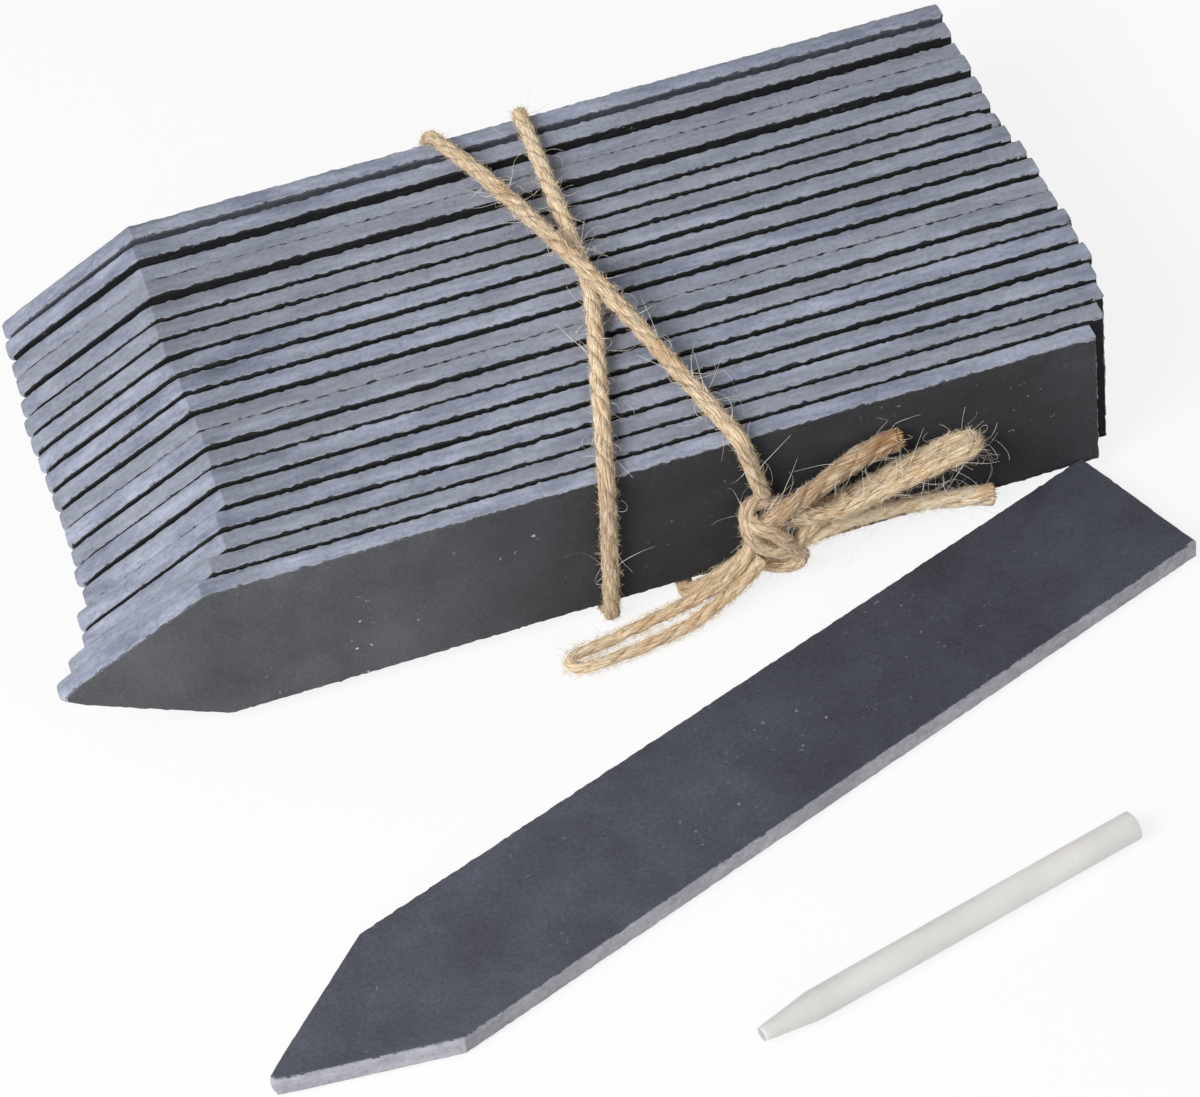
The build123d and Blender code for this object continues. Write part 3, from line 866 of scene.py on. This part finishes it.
def map_lay(mesh, reach, sides, pitch, around):
    """Maps a twine in millimetres: along its plies, which go round it, and along its line."""
    layer = mesh.uv_layers.new(name="lay")
    quads = (len(reach) - 1) * sides
    for index, face in enumerate(mesh.polygons):
        for corner, vertex in zip(face.loop_indices, face.vertices):
            i = min(vertex // sides, len(reach) - 1)
            side = vertex % sides
            if index < quads and index % sides == sides - 1 and side == 0:
                side = sides
            turned = reach[i] / (pitch * MM)
            layer.data[corner].uv = ((side / sides - turned) * around, reach[i] / MM)


KEEP_OUT_LOW = Vector((min(front_low.x, back_low.x) - 0.01, front_low.y, front_low.z))
KEEP_OUT_HIGH = Vector((max(front_high.x, back_high.x) + 0.01, back_high.y, front_high.z))


def in_slate(place):
    """Whether a point lies in the bundle of slate or under the surface."""
    inside = all(KEEP_OUT_LOW[axis] < place[axis] < KEEP_OUT_HIGH[axis] for axis in range(3))
    return inside or place[2] < 0.1 * MM


# Kinds of stray fibre: steps, range of length, thickness, range of how far it stands off, curl
# and number in FIBRE_SLOTS
FIBRE_SLOTS = ("fibre", "fuzz", "brush")
CUT_SLOT = 2
LONG = (12, (2.5, 12.0), 0.043, (0.3, 1.0), 0.25, 0)
TUFT = (12, (2.0, 11.0), 0.046, (0.4, 1.2), 0.27, 0)
SHORT = (2, (0.6, 1.9), 0.045, (0.1, 0.95), 0.25, 1)
CUT = (2, (0.5, 1.5), 0.13, (-0.1, 0.4), 0.1, CUT_SLOT)
# A tuft's fibres stand within this many rings of its middle, by their spread
TUFT_SPREAD = 9


def grow_fibre(chance, twine, diameter, kind, at):
    """The points of one fibre from its root to its tip, near a ring of the twine or anywhere."""
    line, tangents, normals, binormals = twine
    steps, lengths, _, spreads, curl, slot = kind
    length = chance.uniform(*lengths) * MM
    spread = chance.uniform(*spreads)
    i = chance.randrange(1, len(line) - 1)
    if at is not None:
        i = min(max(int(chance.gauss(at, TUFT_SPREAD)), 1), len(line) - 2)
    if slot == CUT_SLOT:
        i = len(line) - 1
    angle = chance.uniform(0, 2 * math.pi)
    out = Vector(math.cos(angle) * normals[i] + math.sin(angle) * binormals[i])
    way = Vector(tangents[i]) * chance.choice((-1, 1)) * chance.uniform(0.5, 1.2)
    inset = 0.86
    if slot == CUT_SLOT:
        way = Vector(tangents[i])
        inset = 1.15 * math.sqrt(chance.random())
    heading = (out * spread + way).normalized()
    place = Vector(line[i]) + out * diameter / 2 * MM * inset
    axis = Vector([chance.gauss(0, 1) for _ in range(3)]).normalized()
    turn = chance.gauss(0, curl)
    grown = []
    for _ in range(steps + 1):
        grown.append(place.copy())
        place = place + heading * length / steps
        turn = turn + chance.gauss(0, curl * 0.3)
        heading = (heading + axis.cross(heading) * turn).normalized()
    return grown, heading


def stray_fibres(name, twine, diameter, long_count, short_count, tufts, brush=0, browned=0):
    """Fibres that stand out of twine: long curled ones, a short dense fuzz, a brush at its cut."""
    chance = random.Random(len(name) * 31 + long_count)
    rings = len(twine[0])
    planned = [(LONG, None)] * long_count
    for share, count in tufts:
        planned += [(TUFT, share * rings)] * count
    planned += [(SHORT, None)] * short_count + [(CUT, None)] * brush
    places = []
    faces = []
    slots = []
    for kind, at in planned:
        grown, heading = grow_fibre(chance, twine, diameter, kind, at)
        if any(in_slate(place) for place in grown[1:]):
            continue
        # A three-sided spike that gets slimmer towards its tip
        steps, _, thick, _, _, slot = kind
        first = len(places)
        side_way = heading.orthogonal().normalized()
        other_way = heading.cross(side_way).normalized()
        for step, there in enumerate(grown[:-1]):
            slim = thick * MM * (1 - 0.6 * step / steps)
            for corner in range(3):
                phase = 2 * math.pi * corner / 3
                sideways = side_way * math.cos(phase) + other_way * math.sin(phase)
                places.append(there + sideways * slim)
        places.append(grown[-1])
        faces.append((first + 2, first + 1, first))
        for low in range(first, first + (steps - 1) * 3, 3):
            for corner in range(3):
                beside = (corner + 1) % 3
                faces.append((low + corner, low + beside, low + 3 + beside, low + 3 + corner))
        last = first + (steps - 1) * 3
        for corner in range(3):
            faces.append((last + corner, last + (corner + 1) % 3, len(places) - 1))
        if kind is SHORT and chance.random() < browned:
            slot = CUT_SLOT
        slots.extend([slot] * (len(faces) - len(slots)))
    mesh = bpy.data.meshes.new(name)
    mesh.from_pydata([tuple(place) for place in places], [], faces)
    mesh.polygons.foreach_set("material_index", slots)
    mesh.update()
    return add_tied(mesh, *FIBRE_SLOTS)


# How wide the twine is, by the share of its length. The winding is squeezed thinner where it is
# drawn over the bundle's two upper rear edges
EVEN = ((0, 1), (1, 1))
SQUEEZED = ((0, 1), (0.2, 1), (0.222, 0.8), (0.245, 1), (0.70, 1), (0.724, 0.85), (0.748, 1),
            (1, 1))
# How pale and how brown the twine is, by the share of its length
PLAIN = ((0, 1.02, 0.12), (1, 1.02, 0.12))
WOUND = ((0, 1, 0.05), (0.19, 1.06, 0), (0.46, 1, 0.1), (0.48, 0.88, 0.16), (0.525, 0.88, 0.12),
         (0.56, 1.4, 0), (0.72, 1.4, 0), (0.76, 1, 0.05), (1, 1, 0))
WOUND_TUFTS = ((0.05, 12), (0.17, 24), (0.30, 20), (0.55, 26), (0.60, 20), (0.68, 20))
wound = [in_bundle(*p) for p in WINDING]
TIED = (
    ("twine_winding", wound, TWINE, LAY_PITCH, SQUEEZED, WOUND, 440, 13000, WOUND_TUFTS),
    ("twine_knot", from_knot(KNOT), KNOT_TWINE, KNOT_PITCH, EVEN, PLAIN, 50, 900, ()),
)
for name, points, diameter, pitch, girth, tint, long_count, short_count, tufts in TIED:
    twine, held = lay_twine(name + "_plies", points, diameter, pitch, girth, tint)
    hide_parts(name)
    stray_fibres(name + "_fibres", held, diameter, long_count, short_count, tufts)
for number, fold in enumerate(KNOT_FOLDS, start=1):
    fold_name = f"twine_knot_fold_{number}"
    _, held = lay_twine(fold_name, from_knot(fold), KNOT_TWINE, KNOT_PITCH, EVEN, PLAIN)
    stray_fibres(fold_name + "_fibres", held, KNOT_TWINE, 12, 380, ())

# Name, route, pitch, girth and tint along it, what its far end is, the numbers of long and of
# short fibres and of those in the cut's brush, the share of short ones that are brown, tufts,
# and its length in the source
FREE = (
    ("bow_loop_left", LOOP_LEFT, LAY_PITCH, ((0, 0.88), (0.3, 0.72), (0.7, 0.72), (1, 0.84)),
     ((0, 1.1, 0), (0.4, 1.2, 0), (0.5, 1.35, 0), (0.6, 1.2, 0), (1, 1.1, 0)), "object",
     40, 2600, 0, 0, ((0.5, 14),), 0.0933),
    ("bow_loop_right", LOOP_RIGHT, LAY_PITCH, ((0, 0.95), (0.35, 1.04), (0.7, 1.04), (1, 0.95)),
     ((0, 1, 0), (1, 1.05, 0)), "object",
     190, 3600, 0, 0, ((0.45, 40),), 0.0815),
    ("twine_end_upper", END_UPPER, LAY_PITCH, ((0, 1.05), (0.5, 1.26), (1, 1.45)),
     ((0, 0.86, 0.3), (0.5, 0.78, 0.5), (0.85, 0.76, 0.65), (1, 0.8, 1)), "bare",
     60, 1500, 120, 0.6, ((0.2, 12), (0.9, 12)), 0.0306),
    # The lower end's paleness of 1.95 is painted light, which lifts it where the right loop's
    # shadow falls on it
    ("twine_end_lower", END_LOWER, 22.0, ((0, 0.9), (0.3, 0.86), (0.7, 0.86), (1, 1.4)),
     ((0, 1.95, 0), (0.85, 1.95, 0), (1, 1.4, 0.2)), "bare",
     60, 1700, 22, 0, ((0.9, 10),), 0.0479),
)
for (name, route, pitch, girth, tint, far_end, long_count, short_count, brush, browned, tufts,
     length) in FREE:
    twine, held = lay_twine(name + "_plies", from_knot(route), TWINE, pitch, girth, tint)
    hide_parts(name)
    hairs = stray_fibres(name + "_fibres", held, TWINE, long_count, short_count, tufts, brush,
                         browned)


# The camera stands where the photograph's did

def stand_camera():
    """The camera, turned by its heading, its downward tilt and its roll."""
    heading, tilt, roll = (math.radians(turn) for turn in CAMERA_TURNS)
    forward = Vector((math.sin(heading) * math.cos(tilt), math.cos(heading) * math.cos(tilt),
                      -math.sin(tilt)))
    right = Vector((math.cos(heading), -math.sin(heading), 0))
    up = right.cross(forward)
    rolled_right = right * math.cos(roll) + up * math.sin(roll)
    rolled_up = up * math.cos(roll) - right * math.sin(roll)
    lens = bpy.data.cameras.new("photo_camera")
    lens.sensor_width = SENSOR_WIDTH
    lens.lens = SENSOR_WIDTH * FOCAL_PIXELS / FRAME_PIXELS
    lens.clip_start = 0.01
    lens.clip_end = 20
    camera = bpy.data.objects.new("photo_camera", lens)
    bpy.context.scene.collection.objects.link(camera)
    camera.matrix_world = placed(rolled_right, rolled_up, -forward, in_bundle(*CAMERA_STAND))
    bpy.context.scene.camera = camera


def hang_lamp(name, place, aim, size, power):
    """A soft square lamp at a place, turned towards a point."""
    lamp = bpy.data.lights.new(name, "AREA")
    lamp.shape = "SQUARE"
    lamp.size = size
    lamp.energy = power
    held = bpy.data.objects.new(name, lamp)
    bpy.context.scene.collection.objects.link(held)
    held.location = place
    held.rotation_euler = (Vector(aim) - Vector(place)).to_track_quat("-Z", "Y").to_euler()


def dress_stage():
    """A plain pale floor and sky, white to the camera, with the object's soft shadow kept."""
    deselect()
    bpy.ops.mesh.primitive_plane_add(size=6, location=(0, 0, -0.3 * MM))
    floor = bpy.context.object
    floor.name = "studio_floor"
    material = bpy.data.materials.new("paper_sweep_white")
    tree = emptied(material)
    paper = node(tree, "BsdfDiffuse", {"Color": colour("#e9e9e9")})
    glow = node(tree, "Emission", {"Color": colour("#ffffff"), "Strength": 1.0})
    seen = node(tree, "LightPath", {}).outputs["Is Camera Ray"]
    share = node(tree, "Math", {0: seen, 1: 0.85}, operation="MULTIPLY")
    both = node(tree, "MixShader", {0: share, 1: paper, 2: glow})
    node(tree, "OutputMaterial", {"Surface": both})
    floor.data.materials.append(material)
    sky = bpy.data.worlds.new("studio_sky")
    bpy.context.scene.world = sky
    tree = emptied(sky)
    seen = node(tree, "LightPath", {}).outputs["Is Camera Ray"]
    strength = node(tree, "MapRange", {"Value": seen, "To Min": 0.34, "To Max": 1.0})
    air = node(tree, "Background", {"Color": colour("#ffffff"), "Strength": strength})
    node(tree, "OutputWorld", {"Surface": air})


stand_camera()
dress_stage()
for softbox in SOFTBOXES:
    hang_lamp(*softbox)
bpy.context.scene.view_settings.view_transform = "Standard"
